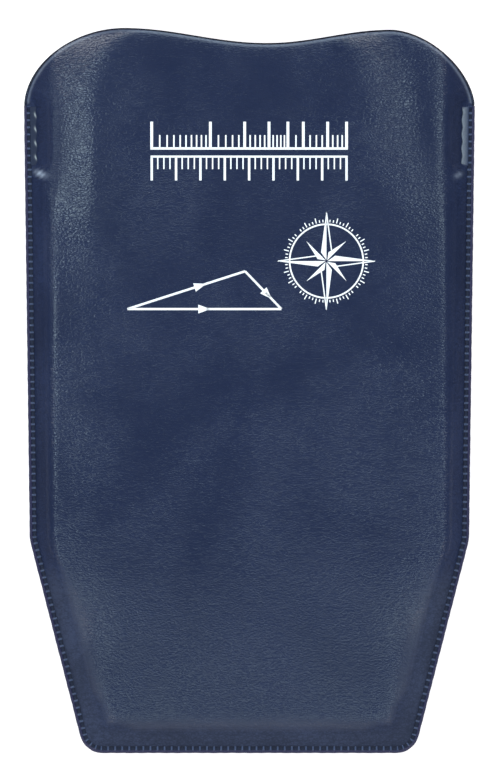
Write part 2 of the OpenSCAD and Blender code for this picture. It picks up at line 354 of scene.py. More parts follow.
    def __call__(self, x, y):
        x, y = np.asarray(x, float), np.asarray(y, float)
        inside = self.inside(x, y)
        low = np.maximum(self.sampled(x, y), self.base)
        beside_pad = smoothstep((y - mouth_y + pad_length + 2.5) / 2) * smoothstep((mouth_y + 5 - y) / 6)
        low -= (low - self.base) * beside_pad * (1 - np.minimum(1, 1.32 * inside / (inside + 1.8)))
        soft = self.arch(x, y) + self.waves(x, y) + self.puckers(x, y) - self.corner_sag(x, y)
        dip = self.foot_dip(x, y) * smoothstep(inside / 7)
        return low + soft * smoothstep(inside / 9) - dip + self.lip_roll(x, y)


front_height = TautSheet()


# ---- meshes

def new_object(name, points, faces, body, smooth=True):
    """A mesh object from points in millimetres, riding on a CAD body."""
    mesh = bpy.data.meshes.new(name)
    mesh.from_pydata((np.asarray(points, float) * MM).tolist(), [], faces)
    mesh.validate()
    bm = bmesh.new()
    bm.from_mesh(mesh)
    bmesh.ops.recalc_face_normals(bm, faces=bm.faces)
    bm.to_mesh(mesh)
    bm.free()
    if smooth:
        mesh.shade_smooth()
    obj = bpy.data.objects.new(name, mesh)
    bpy.context.scene.collection.objects.link(obj)
    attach(obj, body)
    return obj


def eased(n, ends=0.62):
    """n + 1 fractions from 0 to 1, closer together at both ends."""
    t = np.linspace(0, 1, n + 1)
    return t - ends * np.sin(2 * math.pi * t) / (2 * math.pi)


def nearest(line, point):
    """Index of a line's point that is nearest to another point."""
    return int(np.argmin(np.linalg.norm(line - np.array(point), axis=1)))


def climbing(points, fractions):
    """Points along a line, spaced by height more than by width."""
    steps = np.abs(np.diff(points, axis=0)) @ [0.2, 1.0]
    return along(points, fractions, np.concatenate([[0], np.cumsum(steps)]))


def patch_grid(weld_d, lip_d, columns, rows):
    """A grid over the pouch's outline, moved in by weld_d at the weld and by lip_d at the lips."""
    inner = edge + edge_in * (lip_d + (weld_d - lip_d) * smoothstep(from_end / 1.4))[:, None]
    lip = lips + inward(lips) * lip_d
    left_foot, right_foot = (nearest(inner, (side * foot_half, foot_y)) for side in (-1, 1))
    right_top, left_top = (nearest(lip, (side * (mouth_half - 11), lip_y - 6)) for side in (1, -1))
    # a narrow cell more along both sides and the lips, where the sheet turns into its rim
    u, v = eased(columns - 2), eased(rows - 1)
    u = np.concatenate([[0, 0.0016], u[1:-1], [0.9984, 1]])
    v = np.concatenate([v[:-1], [0.9991, 1]])
    bottom_p = along(inner[left_foot:right_foot + 1], u)
    top_p = along(lip[right_top:left_top + 1][::-1], u)
    right_p = climbing(np.concatenate([inner[right_foot:], lip[:right_top + 1]]), v)
    left_p = climbing(np.concatenate([inner[left_foot::-1], lip[:left_top - 1:-1]]), v)
    uu, vv = u[None, :, None], v[:, None, None]
    grid = (1 - vv) * bottom_p[None] + vv * top_p[None]
    grid = grid + (1 - uu) * left_p[:, None] + uu * right_p[:, None]
    grid -= (1 - uu) * (1 - vv) * bottom_p[0] + uu * (1 - vv) * bottom_p[-1]
    grid -= (1 - uu) * vv * top_p[0] + uu * vv * top_p[-1]
    return grid


def thick_sheet(name, outer, thickness, rim_steps=4):
    """A closed, round-rimmed sheet from the grid of its outer face, and its rim's first face.

    The faces of the outer and the inner side take turns, row by row, and the rim's come after them.
    """
    normal = np.cross(np.gradient(outer, axis=1), np.gradient(outer, axis=0))
    for j, k in ((0, 1), (-1, -2)):
        for i, m in ((0, 1), (-1, -2)):
            normal[j, i] = normal[j, m] + normal[k, i]
    normal /= np.linalg.norm(normal, axis=2)[..., None]
    at = np.arange(normal[..., 0].size).reshape(outer.shape[:2])
    sides = np.stack([at[:-1, :-1], at[:-1, 1:], at[1:, 1:], at[1:, :-1]], axis=-1).reshape(-1, 4)
    faces = np.stack([sides, sides[:, ::-1] + at.size], axis=1).reshape(-1, 4).tolist()
    rim_start = len(faces)
    rim = np.concatenate([at[0, :-1], at[:-1, -1], at[-1, :0:-1], at[:0:-1, 0]])
    outer, normal = outer.reshape(-1, 3), normal.reshape(-1, 3)
    middle, up = outer[rim] - normal[rim] * thickness / 2, normal[rim]
    out = np.cross(np.roll(outer[rim], -1, axis=0) - np.roll(outer[rim], 1, axis=0), up)
    out /= np.linalg.norm(out, axis=1)[:, None]
    angles = [math.pi * k / rim_steps for k in range(1, rim_steps)]
    rings = [middle + (up * math.cos(a) + out * math.sin(a)) * thickness / 2 for a in angles]
    points = np.concatenate([outer, outer - normal * thickness, *rings])
    loops = [rim, *(np.arange(len(rim)) + 2 * at.size + k * len(rim) for k in range(rim_steps - 1)),
             rim + at.size]
    for upper, lower in zip(loops, loops[1:]):
        faces += np.stack([upper, lower, np.roll(lower, -1), np.roll(upper, -1)], axis=1).tolist()
    return new_object(name, points, faces, "pouch"), rim_start


def set_attributes(obj, **attributes):
    """Floats on each point, for the materials to read."""
    for name, values in attributes.items():
        attribute = obj.data.attributes.new(name, "FLOAT", "POINT")
        attribute.data.foreach_set("value", np.ravel(values).astype(np.float32))


# ---- materials

class Nodes:
    """Builds a node material a little at a time."""

    def __init__(self, name):
        self.material = bpy.data.materials.new(name)
        self.material.use_nodes = True
        self.tree = self.material.node_tree
        self.shader = self.tree.nodes["Principled BSDF"]
        self.coordinates = self.tree.nodes.new("ShaderNodeTexCoord").outputs["Object"]

    def feed(self, socket, value):
        """Links a socket, or sets it to a constant; a colour may leave its alpha out."""
        if isinstance(value, bpy.types.NodeSocket):
            self.tree.links.new(value, socket)
        elif isinstance(value, tuple) and len(value) < len(socket.default_value):
            socket.default_value = (*value, 1)
        else:
            socket.default_value = value

    def node(self, kind, inputs, **settings):
        made = self.tree.nodes.new("ShaderNode" + kind)
        for key, value in settings.items():
            setattr(made, key, value)
        for key, value in inputs.items():
            self.feed(made.inputs[key], value)
        return made

    def attribute(self, name):
        return self.node("Attribute", {}, attribute_name=name).outputs["Fac"]

    def scaled(self, scale, turn=0.0, source=None):
        return self.node("Mapping", {"Vector": source or self.coordinates, "Scale": scale,
                                     "Rotation": (0, 0, turn)}).outputs[0]

    def noise(self, scale, detail=4.0, roughness=0.5, source=None, output="Fac"):
        return self.node("TexNoise", {"Vector": source or self.coordinates, "Scale": scale,
                                      "Detail": detail, "Roughness": roughness}).outputs[output]

    def math(self, operation, a, b=0.0, clamp=False):
        return self.node("Math", {0: a, 1: b}, operation=operation, use_clamp=clamp).outputs[0]

    def times(self, a, b, clamp=False):
        return self.math("MULTIPLY", a, b, clamp)

    def vector(self, operation, a, b):
        return self.node("VectorMath", {0: a, 1: b}, operation=operation).outputs[0]

    def ranged(self, value, low, high, to_low, to_high):
        return self.node("MapRange", {"Value": value, "From Min": low, "From Max": high,
                                      "To Min": to_low, "To Max": to_high}).outputs["Result"]

    def mixed(self, factor, a, b):
        return self.node("Mix", {0: factor, 6: a, 7: b}, data_type="RGBA").outputs[2]

    def bump(self, height, strength, distance, **normal):
        inputs = {"Height": height, "Strength": strength, "Distance": distance, **normal}
        return self.node("Bump", inputs).outputs[0]

    def set(self, **values):
        for key, value in values.items():
            self.feed(self.shader.inputs[key.replace("_", " ")], value)
        return self.material


def leather_grain(n, strength=1.0):
    """Embossed leatherette's normal and height: low cells between creases, folds and pores."""
    warp = n.noise(260.0, 2.0, output="Color")
    moved = n.vector("ADD", n.coordinates, n.vector("MULTIPLY", warp, (0.0011, 0.0010, 0.0)))
    cells = n.node("TexVoronoi", {"Vector": n.scaled((780, 1300, 800), 0.12, moved), "Scale": 1.0},
                   feature="DISTANCE_TO_EDGE").outputs["Distance"]
    domes = n.math("POWER", n.ranged(cells, 0.0, 0.34, 0.0, 1.0), 0.7)
    folds = n.noise(1.0, 3.0, 0.55, n.scaled((520, 1000, 600), -0.15, moved))
    pores = n.noise(2600.0, 2.0)
    patchy = n.ranged(n.noise(38.0, 2.0), 0.35, 0.68, 0.55, 1.0)
    height = n.times(n.math("ADD", n.times(domes, 0.26), n.times(folds, 0.7)), patchy)
    embossed = n.bump(height, strength, 0.00019)
    return n.bump(pores, 0.20 * strength, 0.00003, Normal=embossed), height


def leatherette(name, dulling=0.0):
    """Navy leatherette, with painted light in its colour.

    It is painted pale along the lips' edge, a painted highlight, and on the small folds, which are
    whitened and carry a painted highlight. It is painted lighter on the slopes beside the tapered sides
    and the foot, a painted highlight there, where it is also rougher from wear. Its grain's cells are
    painted lighter and its creases darker, as painted shade. Beside the weld it is dulled: rougher and
    less glossy, with more of the slopes' painted highlight and deeper painted shade in its creases.
    """
    roughness, gloss = 0.20 + 0.20 * dulling, 0.5 - 0.42 * dulling
    # The first share is how much lighter navy the slopes beside the tapered sides and the foot are
    # painted with, a painted highlight; the second is how deep the grain's painted shade is; both grow
    # where the sheet is dulled
    worn, painted_crease_shade = 0.2 + 0.2 * dulling, 0.08 + 0.16 * dulling
    n = Nodes(name)
    normal, height = leather_grain(n)
    rubbed, stress = n.attribute("rubbed"), n.attribute("stress")
    tone = n.ranged(n.noise(22.0, 3.0, 0.6), 0.3, 0.7, 0.0, 1.0)
    colour = n.mixed(tone, (0.0146, 0.0218, 0.0545), (0.0160, 0.0233, 0.0575))
    # a lighter navy on the slopes beside the tapered sides and the foot: a painted highlight
    colour = n.mixed(n.times(rubbed, worn), colour, (0.054, 0.064, 0.096))
    # grain cells painted lighter and creases darker: painted shade, deeper where the sheet is dulled
    shade = n.ranged(height, 0.22, 0.52, 1 - painted_crease_shade, 1 + painted_crease_shade)
    colour = n.node("VectorMath", {0: colour, "Scale": shade}, operation="SCALE").outputs[0]
    # pale blue-grey: a painted highlight along the lips' edge, and on the small folds their whitening
    # and a painted highlight
    streaky = n.times(stress, n.ranged(n.noise(900.0, 3.0), 0.3, 0.6, 0.75, 1.0), True)
    colour = n.mixed(streaky, colour, (0.33, 0.38, 0.48))
    rough = n.ranged(n.noise(90.0), 0.3, 0.7, roughness - 0.03, roughness + 0.04)
    rough = n.math("ADD", rough, n.times(rubbed, 0.22))
    return n.set(Base_Color=colour, Roughness=rough, Normal=normal, IOR=1.46, Specular_IOR_Level=gloss)


def melted_vinyl(name):
    """The weld: light ribs; dark marks, melted vinyl with painted shade in their pressed hollows; a
    duller "margin"; whitened nicks on the left reinforcing weld and a painted reflection over the right
    one.
    """
    n = Nodes(name)
    melt, margin, stress = (n.attribute(key) for key in ("melt", "margin", "stress"))
    uneven = n.noise(900.0, 3.0)
    rib = n.mixed(uneven, (0.034, 0.052, 0.110), (0.050, 0.072, 0.140))
    # near-black navy marks: melted vinyl, with painted shade for their pressed hollows
    mark = n.mixed(uneven, (0.0015, 0.0055, 0.024), (0.003, 0.0085, 0.032))
    outer = n.mixed(uneven, (0.018, 0.0175, 0.052), (0.023, 0.0225, 0.064))
    colour = n.mixed(margin, n.mixed(melt, rib, mark), outer)
    # pale grey: whitened nicks on the left reinforcing weld, and a painted reflection over the right one
    colour = n.mixed(stress, colour, (0.32, 0.36, 0.39))
    rough = n.ranged(melt, 0.0, 1.0, 0.36, 0.55)
    normal = n.bump(n.noise(1700.0), 0.35, 0.00006)
    return n.set(Base_Color=colour, Roughness=rough, Normal=normal, IOR=1.38)


def mottled(name, noise, dark, light, bump, rough, rough_at=(0.3, 0.7), tone_at=(0.0, 1.0), **values):
    """A plain material: one noise sets its tone, relief and roughness."""
    n = Nodes(name)
    level = n.noise(*noise[:3], n.scaled(*noise[3:]) if noise[3:] else None)
    tone = n.mixed(n.ranged(level, *tone_at, 0.0, 1.0), dark, light)
    return n.set(Base_Color=tone, Roughness=n.ranged(level, *rough_at, *rough),
                 Normal=n.bump(level, *bump), **values)


def smooth_vinyl(name):
    n = Nodes(name)
    weave_at = n.scaled((1500, 1500, 1500), 0.78)
    weave = n.node("TexWave", {"Vector": weave_at, "Scale": 0.6, "Distortion": 1.5}).outputs["Fac"]
    tone = n.mixed(n.noise(60.0), (0.016, 0.019, 0.030), (0.024, 0.028, 0.042))
    rough = n.ranged(n.noise(200.0), 0.3, 0.7, 0.5, 0.62)
    return n.set(Base_Color=tone, Roughness=rough, Normal=n.bump(weave, 0.2, 0.00005))


def white_ink(name):
    n = Nodes(name)
    worn = n.ranged(n.noise(700.0, 5.0, 0.65), 0.25, 0.45, 1.0, 0.0)
    colour = n.mixed(worn, (0.93, 0.935, 0.95), (0.78, 0.79, 0.84))
    return n.set(Base_Color=colour, Roughness=0.55, Normal=leather_grain(n, 0.35)[0])


def sheet_plastic(name, light, shade):
    """Printed sheet plastic: faint mottling, fine scratches and slightly rubbed edges."""
    n = Nodes(name)
    tone = n.mixed(n.noise(35.0, 4.0, 0.6), shade, light)
    bevelled = n.node("Bevel", {"Radius": 0.0004}, samples=4).outputs[0]
    plain = n.node("NewGeometry", {}).outputs["Normal"]
    turned = n.node("VectorMath", {0: bevelled, 1: plain}, operation="DOT_PRODUCT").outputs["Value"]
    colour = n.mixed(n.ranged(turned, 0.92, 0.999, 0.35, 0.0), tone, (0.62, 0.60, 0.55))
    scratches = n.noise(1.0, 6.0, 0.7, n.scaled((90, 2600, 400), 0.5))
    rough = n.ranged(scratches, 0.4, 0.65, 0.32, 0.46)
    return n.set(Base_Color=colour, Roughness=rough, Normal=n.bump(scratches, 0.12, 0.00003))


def printed(name, colour):
    """Matt ink with lighter speckles."""
    lighter = tuple(min(1.0, c * 1.35 + 0.01) for c in colour)
    return mottled(name, (1500.0, 4.0, 0.7), colour, lighter, (0.1, 0.00001), (0.45, 0.55),
                   tone_at=(0.45, 0.75))


def paint(obj, *materials):
    obj.data.materials.clear()
    for material in materials:
        obj.data.materials.append(material)


DULL_STEPS = 4  # shades of leatherette between the open sheet and the weld
navy = leatherette("navy_leatherette")
dulled_navy = [leatherette("navy_leatherette_by_the_weld_%d" % k, k / DULL_STEPS)
               for k in range(1, DULL_STEPS + 1)]
# near-black for the sheets' cut edges; along the lips it is also painted shade on the upper face's edge
cut_edge_and_shade_material = mottled("cut_edge_and_painted_shade", (2400.0, 4.0, 0.7), (0.004, 0.005, 0.010), (0.012, 0.014, 0.026),
                     (0.5, 0.0001), (0.8, 0.8), Specular_IOR_Level=0.05)
weld_vinyl = melted_vinyl("weld_vinyl")
lining_vinyl = smooth_vinyl("lining_vinyl")
white_print = white_ink("white_print")
ivory = sheet_plastic("ivory_plastic", (0.46, 0.41, 0.345), (0.42, 0.375, 0.31))
white = sheet_plastic("white_plastic", (0.53, 0.485, 0.45), (0.49, 0.45, 0.415))
black_print = printed("black_print", (0.010, 0.010, 0.012))
green_print = printed("green_print", (0.015, 0.14, 0.07))
red_print = printed("red_print", (0.45, 0.02, 0.02))
clear = mottled("clear_plastic", (300.0, 5.0, 0.7, (1, 6, 1), 0.3), (0.97, 0.985, 0.99),
                (0.92, 0.95, 0.965), (0.05, 0.00003), (0.06, 0.22), (0.35, 0.7), IOR=1.49,
                Transmission_Weight=1.0)
nickel_plate = mottled("nickel_plate", (1.0, 5.0, 0.6, (900, 900, 4000)), (0.60, 0.58, 0.54),
                       (0.78, 0.76, 0.72), (0.15, 0.00003), (0.26, 0.40), Metallic=0.75)
black_felt = mottled("black_felt", (3000.0, 6.0, 0.8), (0.02, 0.02, 0.02), (0.07, 0.07, 0.07),
                     (0.8, 0.0001), (0.95, 0.95))


# ---- the pouch


FRONT_COLUMNS, FRONT_ROWS = 140, 250


def front_grid(inset_lip, drop, columns, rows):
    plane = patch_grid(weld_width + 0.15, inset_lip, columns, rows)
    z = front_height(plane[..., 0], plane[..., 1]) - drop
    return np.concatenate([plane, z[..., None]], axis=2)


def flat_grid(inset_weld, inset_lip, z, columns, rows):
    plane = patch_grid(inset_weld, inset_lip, columns, rows)
    return np.concatenate([plane, np.full((*plane.shape[:2], 1), z)], axis=2)


def dulling_at(x, y):
    """How dull the front sheet is: 0 in the open, 1 beside the weld and in the foot's corners."""
    in_corner = smoothstep((foot_y + 23 - y) / 8) * smoothstep((abs(x) - 38) / 8)
    reach = 4.6 + 1.7 * smoothstep((knee_y - 4 - y) / 8) + 2.2 * in_corner
    reach -= 8 * smoothstep((y - mouth_y - 4) / 8)
    return min(max((reach - front_height.inside(x, y)) / 3 + 0.5, 0), 1)


def make_front_sheet():
    grid = front_grid(sheet_t / 2 + 0.3, 0.0, FRONT_COLUMNS, FRONT_ROWS)
    obj, rim_start = thick_sheet("front_sheet", grid, sheet_t)
    paint(obj, cut_edge_and_shade_material, navy, *dulled_navy)
    x, y, _ = np.array([v.co for v in obj.data.vertices]).T / MM
    # paler paint: a painted highlight on the slopes beside the tapered sides and the foot, which are
    # also worn rougher; and a painted highlight along the lips' edge and on the small folds, which are
    # also whitened
    set_attributes(obj, rubbed=front_height.rubbed(x, y), stress=front_height.whitening(x, y))
    for k, polygon in enumerate(obj.data.polygons):
        row, column = divmod(k // 2, FRONT_COLUMNS)
        last = row == FRONT_ROWS - 1 or column in (0, FRONT_COLUMNS - 1)
        x, y = polygon.center.x / MM, polygon.center.y / MM
        # near-black at the lips: the rim as the cut edge, and the upper face's last cells as painted
        # shade for the dark line along the lip's edge
        cut_edge_and_shade_faces = (k >= rim_start or k % 2 == 0 and last) and y > mouth_y + 0.5
        shade = round(DULL_STEPS * float(dulling_at(x, y)))
        polygon.material_index = 0 if cut_edge_and_shade_faces else 1 + shade
    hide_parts("front_panel")


def make_back_sheet():
    grid = flat_grid(weld_width - 0.15, sheet_t / 2, sheet_t, 90, 130)
    obj, rim_start = thick_sheet("back_sheet", grid, sheet_t)
    paint(obj, navy, cut_edge_and_shade_material)
    for polygon in obj.data.polygons[rim_start:]:
        polygon.material_index = 1
    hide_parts("back_panel")


def make_linings():
    gap, lip_inset, rim_steps = 0.02, 1.6, 2
    front = front_grid(lip_inset, sheet_t + gap, 110, 160)
    back = flat_grid(weld_width + 0.3, lip_inset, sheet_t + gap + lining_t, 70, 100)
    for side, grid in (("front", front), ("back", back)):
        obj, _ = thick_sheet(side + "_lining_sheet", grid, lining_t, rim_steps)
        paint(obj, lining_vinyl)
        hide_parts(side + "_lining")


def weld_bar(name, node, line, normals, inset, height, **attributes):
    """A closed bar of melted vinyl: at each point of a plane line, a section of insets and heights."""
    flat = line[:, None] + normals[:, None] * inset[..., None]
    points = np.concatenate([flat, height[..., None]], axis=2).reshape(-1, 3)
    at = np.arange(len(points)).reshape(inset.shape)
    beside = np.roll(at, -1, axis=1)
    sides = np.stack([at[:-1], beside[:-1], beside[1:], at[1:]], axis=-1).reshape(-1, 4)
    faces = [at[0, ::-1].tolist(), at[-1].tolist(), *sides.tolist()]
    obj = new_object(name, points, faces, "pouch")
    set_attributes(obj, **attributes)
    paint(obj, weld_vinyl)
    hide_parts(node)


def make_weld():
    """The seam: a melted bead outside, and a row of stitch marks pressed between ribs."""
    steps = 10
    at = np.linspace(0, 1, int(round(edge_s[-1] / stitch_pitch)) * steps + 1)
    line, number = along(edge, at), np.arange(len(at))
    phase = (number % steps) / steps
    from_rib = np.minimum(phase, 1 - phase) * stitch_pitch
    mark = smoothstep((from_rib - stitch_gap / 2) / 0.22)
    pressed = 1.40 - 0.62 * mark
    wobble = 0.03 * np.sin(number * 0.37) + 0.02 * np.sin(number * 0.113)
    # (distance in, height) across the seam; None is for the marks, which have their own height
    section = [(0.12, 0.0), (-0.02, 0.22), (-0.06, 0.62), (-0.02, 1.02), (0.14, 1.28), (0.45, 1.38),
               (0.76, 1.33), (0.92, 1.20), (1.02, None), (1.40, None), (1.85, None), (2.25, None),
               (2.40, 1.10), (2.55, 0.9), (2.55, 0.0)]
    o, z = np.array(section, float).T
    inset = o + wobble[:, None] * ((z > 0) & (o < 0.2))
    height = np.where(np.isnan(z), pressed[:, None], z)
    marked = o > 0.95
    # the marks are painted dark: melted vinyl, and painted shade in their pressed hollows
    weld_bar("weld_seam", "edge_weld", line, inward(line), inset, height,
             melt=mark[:, None] * marked, margin=np.broadcast_to(~marked, inset.shape))


def make_mouth_pad(name, node, side):
    """A reinforcing weld: a strip whose inner edge is pressed into scallops with raised nicks."""
    s = np.linspace(0.25, pad_length, 161)
    line = along(edge, s / edge_s[-1] if side < 0 else 1 - s / edge_s[-1])
    s = s[:, None]
    phase = (s / pad_nick_pitch) % 1
    scallop = 0.16 * np.cos(2 * math.pi * phase)
    end = smoothstep(s / 1.2) * smoothstep((pad_length - s) / 1.0)
    tilt = 0.55 if side > 0 else 0.12
    # (distance in, height, share of the tilt, share of the nicks) across the strip
    section = [(1.9, 0.9, 0, 0), (1.98, 1.46, 0, 0), (2.3, 1.50, 0.1, 0), (2.9, 1.46, 0.45, 0),
               (3.5, 1.44, 0.8, 0.1), (3.85, 1.46, 1.0, 1.0), (4.2, 1.46, 1.0, 0.5), (4.5, 1.1, 0.9, 0)]
    o, z, share, raised = np.array(section).T
    nick = np.exp(-((phase - 0.62 - 0.22 * (o - 3.8)) / 0.15) ** 2)
    height = np.where(end < 0.02, 0.95, z + tilt * share * end + 0.30 * raised * nick * end)
    height[:, [0, -1]] = 0.85
    # the pads are darkened as melted vinyl, the left one more, as painted shade where it catches no
    # light
    melt = np.full(height.shape, 0.5 if side > 0 else 0.9)
    # pale grey: the left pad's raised nicks are whitened; the right pad's tilted face is painted pale, a
    # painted reflection
    stress = (raised * nick if side < 0 else 0.38 * share) * end
    weld_bar(name, node, line, inward(line) * -side, o + scallop * (o > 3.4), height,
             melt=melt, stress=stress)


# ---- print

class Ink:
    """Thin printed marks on one face, gathered into one mesh of closed shells."""

    thick = 0.03

    def __init__(self, centre=(dial_x, dial_y), step=3.0):
        self.points, self.faces = [], []
        self.centre, self.step = np.array(centre, float), step

    def spot(self, angle, r):
        """The point at an angle, in degrees, and a radius from the centre."""
        return self.centre + np.array([math.cos(math.radians(angle)), math.sin(math.radians(angle))]) * r

    def strip(self, left, right, closed=False):
        """A band between two lines of points."""
        start, n = len(self.points), len(left)
        self.points += [(p[0], p[1], z) for pair in zip(left, right) for p in pair for z in (1.0, 0.0)]
        for k in range(n if closed else n - 1):
            a, b = start + 4 * k, start + 4 * ((k + 1) % n)
            self.faces += [(a, a + 2, b + 2, b), (a + 1, b + 1, b + 3, a + 3),
                           (a, b, b + 1, a + 1), (a + 2, a + 3, b + 3, b + 2)]
        if not closed:
            b = start + 4 * (n - 1)
            self.faces += [(start, start + 1, start + 3, start + 2), (b, b + 2, b + 3, b + 1)]

    def line(self, a, b, width):
        a, b = np.array(a, float), np.array(b, float)
        n = max(1, int(math.ceil(np.linalg.norm(b - a) / self.step)))
        middle = a + (b - a) * np.linspace(0, 1, n + 1)[:, None]
        across = np.array([-(b - a)[1], (b - a)[0]]) / np.linalg.norm(b - a) * width / 2
        self.strip(middle + across, middle - across)

    def arc(self, r, width, start=0.0, end=360.0):
        whole = abs(end - start) >= 360
        n = max(6, int(abs(end - start) / 360 * max(48, 2 * math.pi * r / min(self.step, 1.5))))
        angles = np.radians(np.linspace(start, end, n + 1))
        angles = angles[:-1] if whole else angles
        ray = np.stack([np.cos(angles), np.sin(angles)], axis=1)
        self.strip(self.centre + ray * (r - width / 2), self.centre + ray * (r + width / 2), whole)

    def tick(self, angle, r0, r1, width):
        self.line(self.spot(angle, r0), self.spot(angle, r1), width)

    def triangle(self, tip, left, right):
        """A filled triangle, cut into short steps so that it can drape."""
        tip, left, right = (np.array(p, float) for p in (tip, left, right))
        n = max(2, int(np.linalg.norm(left - tip) / self.step))
        t = np.linspace(0.02, 1, n + 1)[:, None]
        self.strip(tip + (left - tip) * t, tip + (right - tip) * t)

    def text(self, body, at, size, turn=0.0):
        """Figures in the built-in face, centred on a point and turned, in degrees."""
        points, faces = glyphs(body)
        c, s = math.cos(math.radians(turn)), math.sin(math.radians(turn))
        start = len(self.points)
        for x, y, z in points:
            x, y = x * size, y * size
            self.points.append((at[0] + c * x - s * y, at[1] + s * x + c * y, 1.0 if z > 0 else 0.0))
        self.faces += [tuple(start + i for i in f) for f in faces]

    def figures(self, label, angle, r, size):
        """Figures that stand upright on a circle about the centre."""
        self.text(str(label), self.spot(angle, r), size, angle - 90)

    def build(self, name, body, slot, material, face_z, out=1, drape=None):
        """Puts the marks on the face at face_z, which looks up (out = 1) or down (out = -1)."""
        x, y, level = np.array(self.points).T
        z = drape(x, y) if drape else face_z
        x = x if out > 0 else 2 * dial_x - x
        xyz = np.stack([x, y, z + out * (level * 2 * self.thick - self.thick) * 0.9], axis=1)
        paint(new_object(name, xyz, self.faces, body, smooth=False), material)


GLYPHS = {}


def glyphs(body):
    """Points and faces of a short text, one unit high, with a front and a back."""
    if body not in GLYPHS:
        curve = bpy.data.curves.new("glyph", "FONT")
        curve.body = body
        curve.align_x, curve.align_y = "CENTER", "CENTER"
        curve.resolution_u = 3
        curve.extrude = 0.5
        holder = bpy.data.objects.new("glyph", curve)
        mesh = bpy.data.meshes.new_from_object(holder)
        bm = bmesh.new()
        bm.from_mesh(mesh)
        bmesh.ops.remove_doubles(bm, verts=bm.verts, dist=1e-5)
        bm.to_mesh(mesh)
        bm.free()
        GLYPHS[body] = ([tuple(v.co) for v in mesh.vertices], [tuple(f.vertices) for f in mesh.polygons])
        bpy.data.meshes.remove(mesh)
        bpy.data.objects.remove(holder)
        bpy.data.curves.remove(curve)
    return GLYPHS[body]


def log_angle(value):
    """Where a value from 10 to 100 lies on a circular log scale that starts at the top."""
    return 90 - 360 * math.log10(value / 10)


def make_front_print():
    """A plain white device: a pair of slide-rule scales over a wind triangle and a compass star."""
    ink = Ink(centre=(26.5, 44.5), step=1.2)
    left, right, top, mid, low = -33.6, 33.4, 92.4, 81.6, 72.2
    width = right - left
    for value in [*range(10, 20), *range(20, 50, 2), *range(50, 101, 5)]:
        x = left + width * math.log10(value / 10)
        major = value in (10, 20, 30, 40, 50, 60, 80, 100)
        ink.line((x, mid + 1.6), (x, top if major else top - 4.6), 0.95 if major else 0.5)
    ink.line((left - 0.45, mid + 1.6), (right + 0.45, mid + 1.6), 0.8)
    for k in range(33):
        x = left + width * k / 32
        major = k % 4 == 0
        ink.line((x, mid - 1.2), (x, low if major else low + 3.9), 0.8 if major else 0.45)
    ink.line((left - 0.4, mid - 1.2), (right + 0.4, mid - 1.2), 0.7)
    start, end, wind = (-42.0, 28.0), (11.0, 28.0), (-1.5, 41.0)
    legs = ((start, end, 0.5), (start, wind, 0.62), (wind, end, 0.62))
    for a, b, _ in legs:
        ink.line(a, b, 0.75)
    for a, b, where in legs:
        arrow_head(ink, a, b, 4.2, where)
    compass_star(ink, 17.6)
    ink.build("front_print", "pouch", "leatherette", white_print, 0, drape=front_height)


def arrow_head(ink, a, b, size, where):
    a, b = np.array(a, float), np.array(b, float)
    d = unit(b - a)
    side = np.array([-d[1], d[0]])
    tip = a + (b - a) * where + d * size / 2
    ink.triangle(tip, tip - d * size + side * size * 0.36, tip - d * size - side * size * 0.36)


def compass_star(ink, r):
    """An eight-pointed star in a ring of ticks."""
    for k in range(8):
        a = math.radians(45 * k + 90)
        ray, side = np.array([math.cos(a), math.sin(a)]), np.array([-math.sin(a), math.cos(a)])
        reach, waist = (r * 0.98, r * 0.17) if k % 2 == 0 else (r * 0.56, r * 0.15)
        tip = ink.centre + ray * reach
        ink.triangle(tip, ink.centre + ray * waist + side * waist * 0.62, ink.centre + ray * 0.4)
        if k % 2 == 0:
            ink.line(tip - ray * 0.6, ink.centre + ray * waist - side * waist * 0.62, 0.4)
    ink.arc(r * 0.72, 0.55)
    for k in range(72):
        if k % 9:
            ink.tick(5 * k, r * 0.76, r * (0.86 if k % 3 == 0 else 0.81), 0.35)


# ---- the computer's scales

LOG_FIGURES = [*range(10, 20), *range(20, 30, 2), 25, *range(30, 60, 5), *range(60, 100, 10)]


def log_scale(ink, out, r0, figures_r):
    """A circular log scale: ticks out (out = 1) or in (out = -1) from r0, and figures."""
    for tenth in range(100, 1000):
        value = tenth / 10
        fine = 1 if value < 15 else 2 if value < 30 else 5 if value < 60 else 10
        if tenth % fine:
            continue
        long, middle = (tenth % step == 0 for step in ((50, 10) if value >= 20 else (10, 5)))
        size = 3.2 if long else 2.4 if middle else 1.6
        ink.tick(log_angle(value), *sorted((r0, r0 + out * size)), 0.22 if long else 0.14)
    for value in LOG_FIGURES:
        ink.figures(value, log_angle(value), figures_r, 2.7)


def graded(k, tens, fives, ones):
    """The length of tick number k."""
    return tens if k % 10 == 0 else fives if k % 5 == 0 else ones


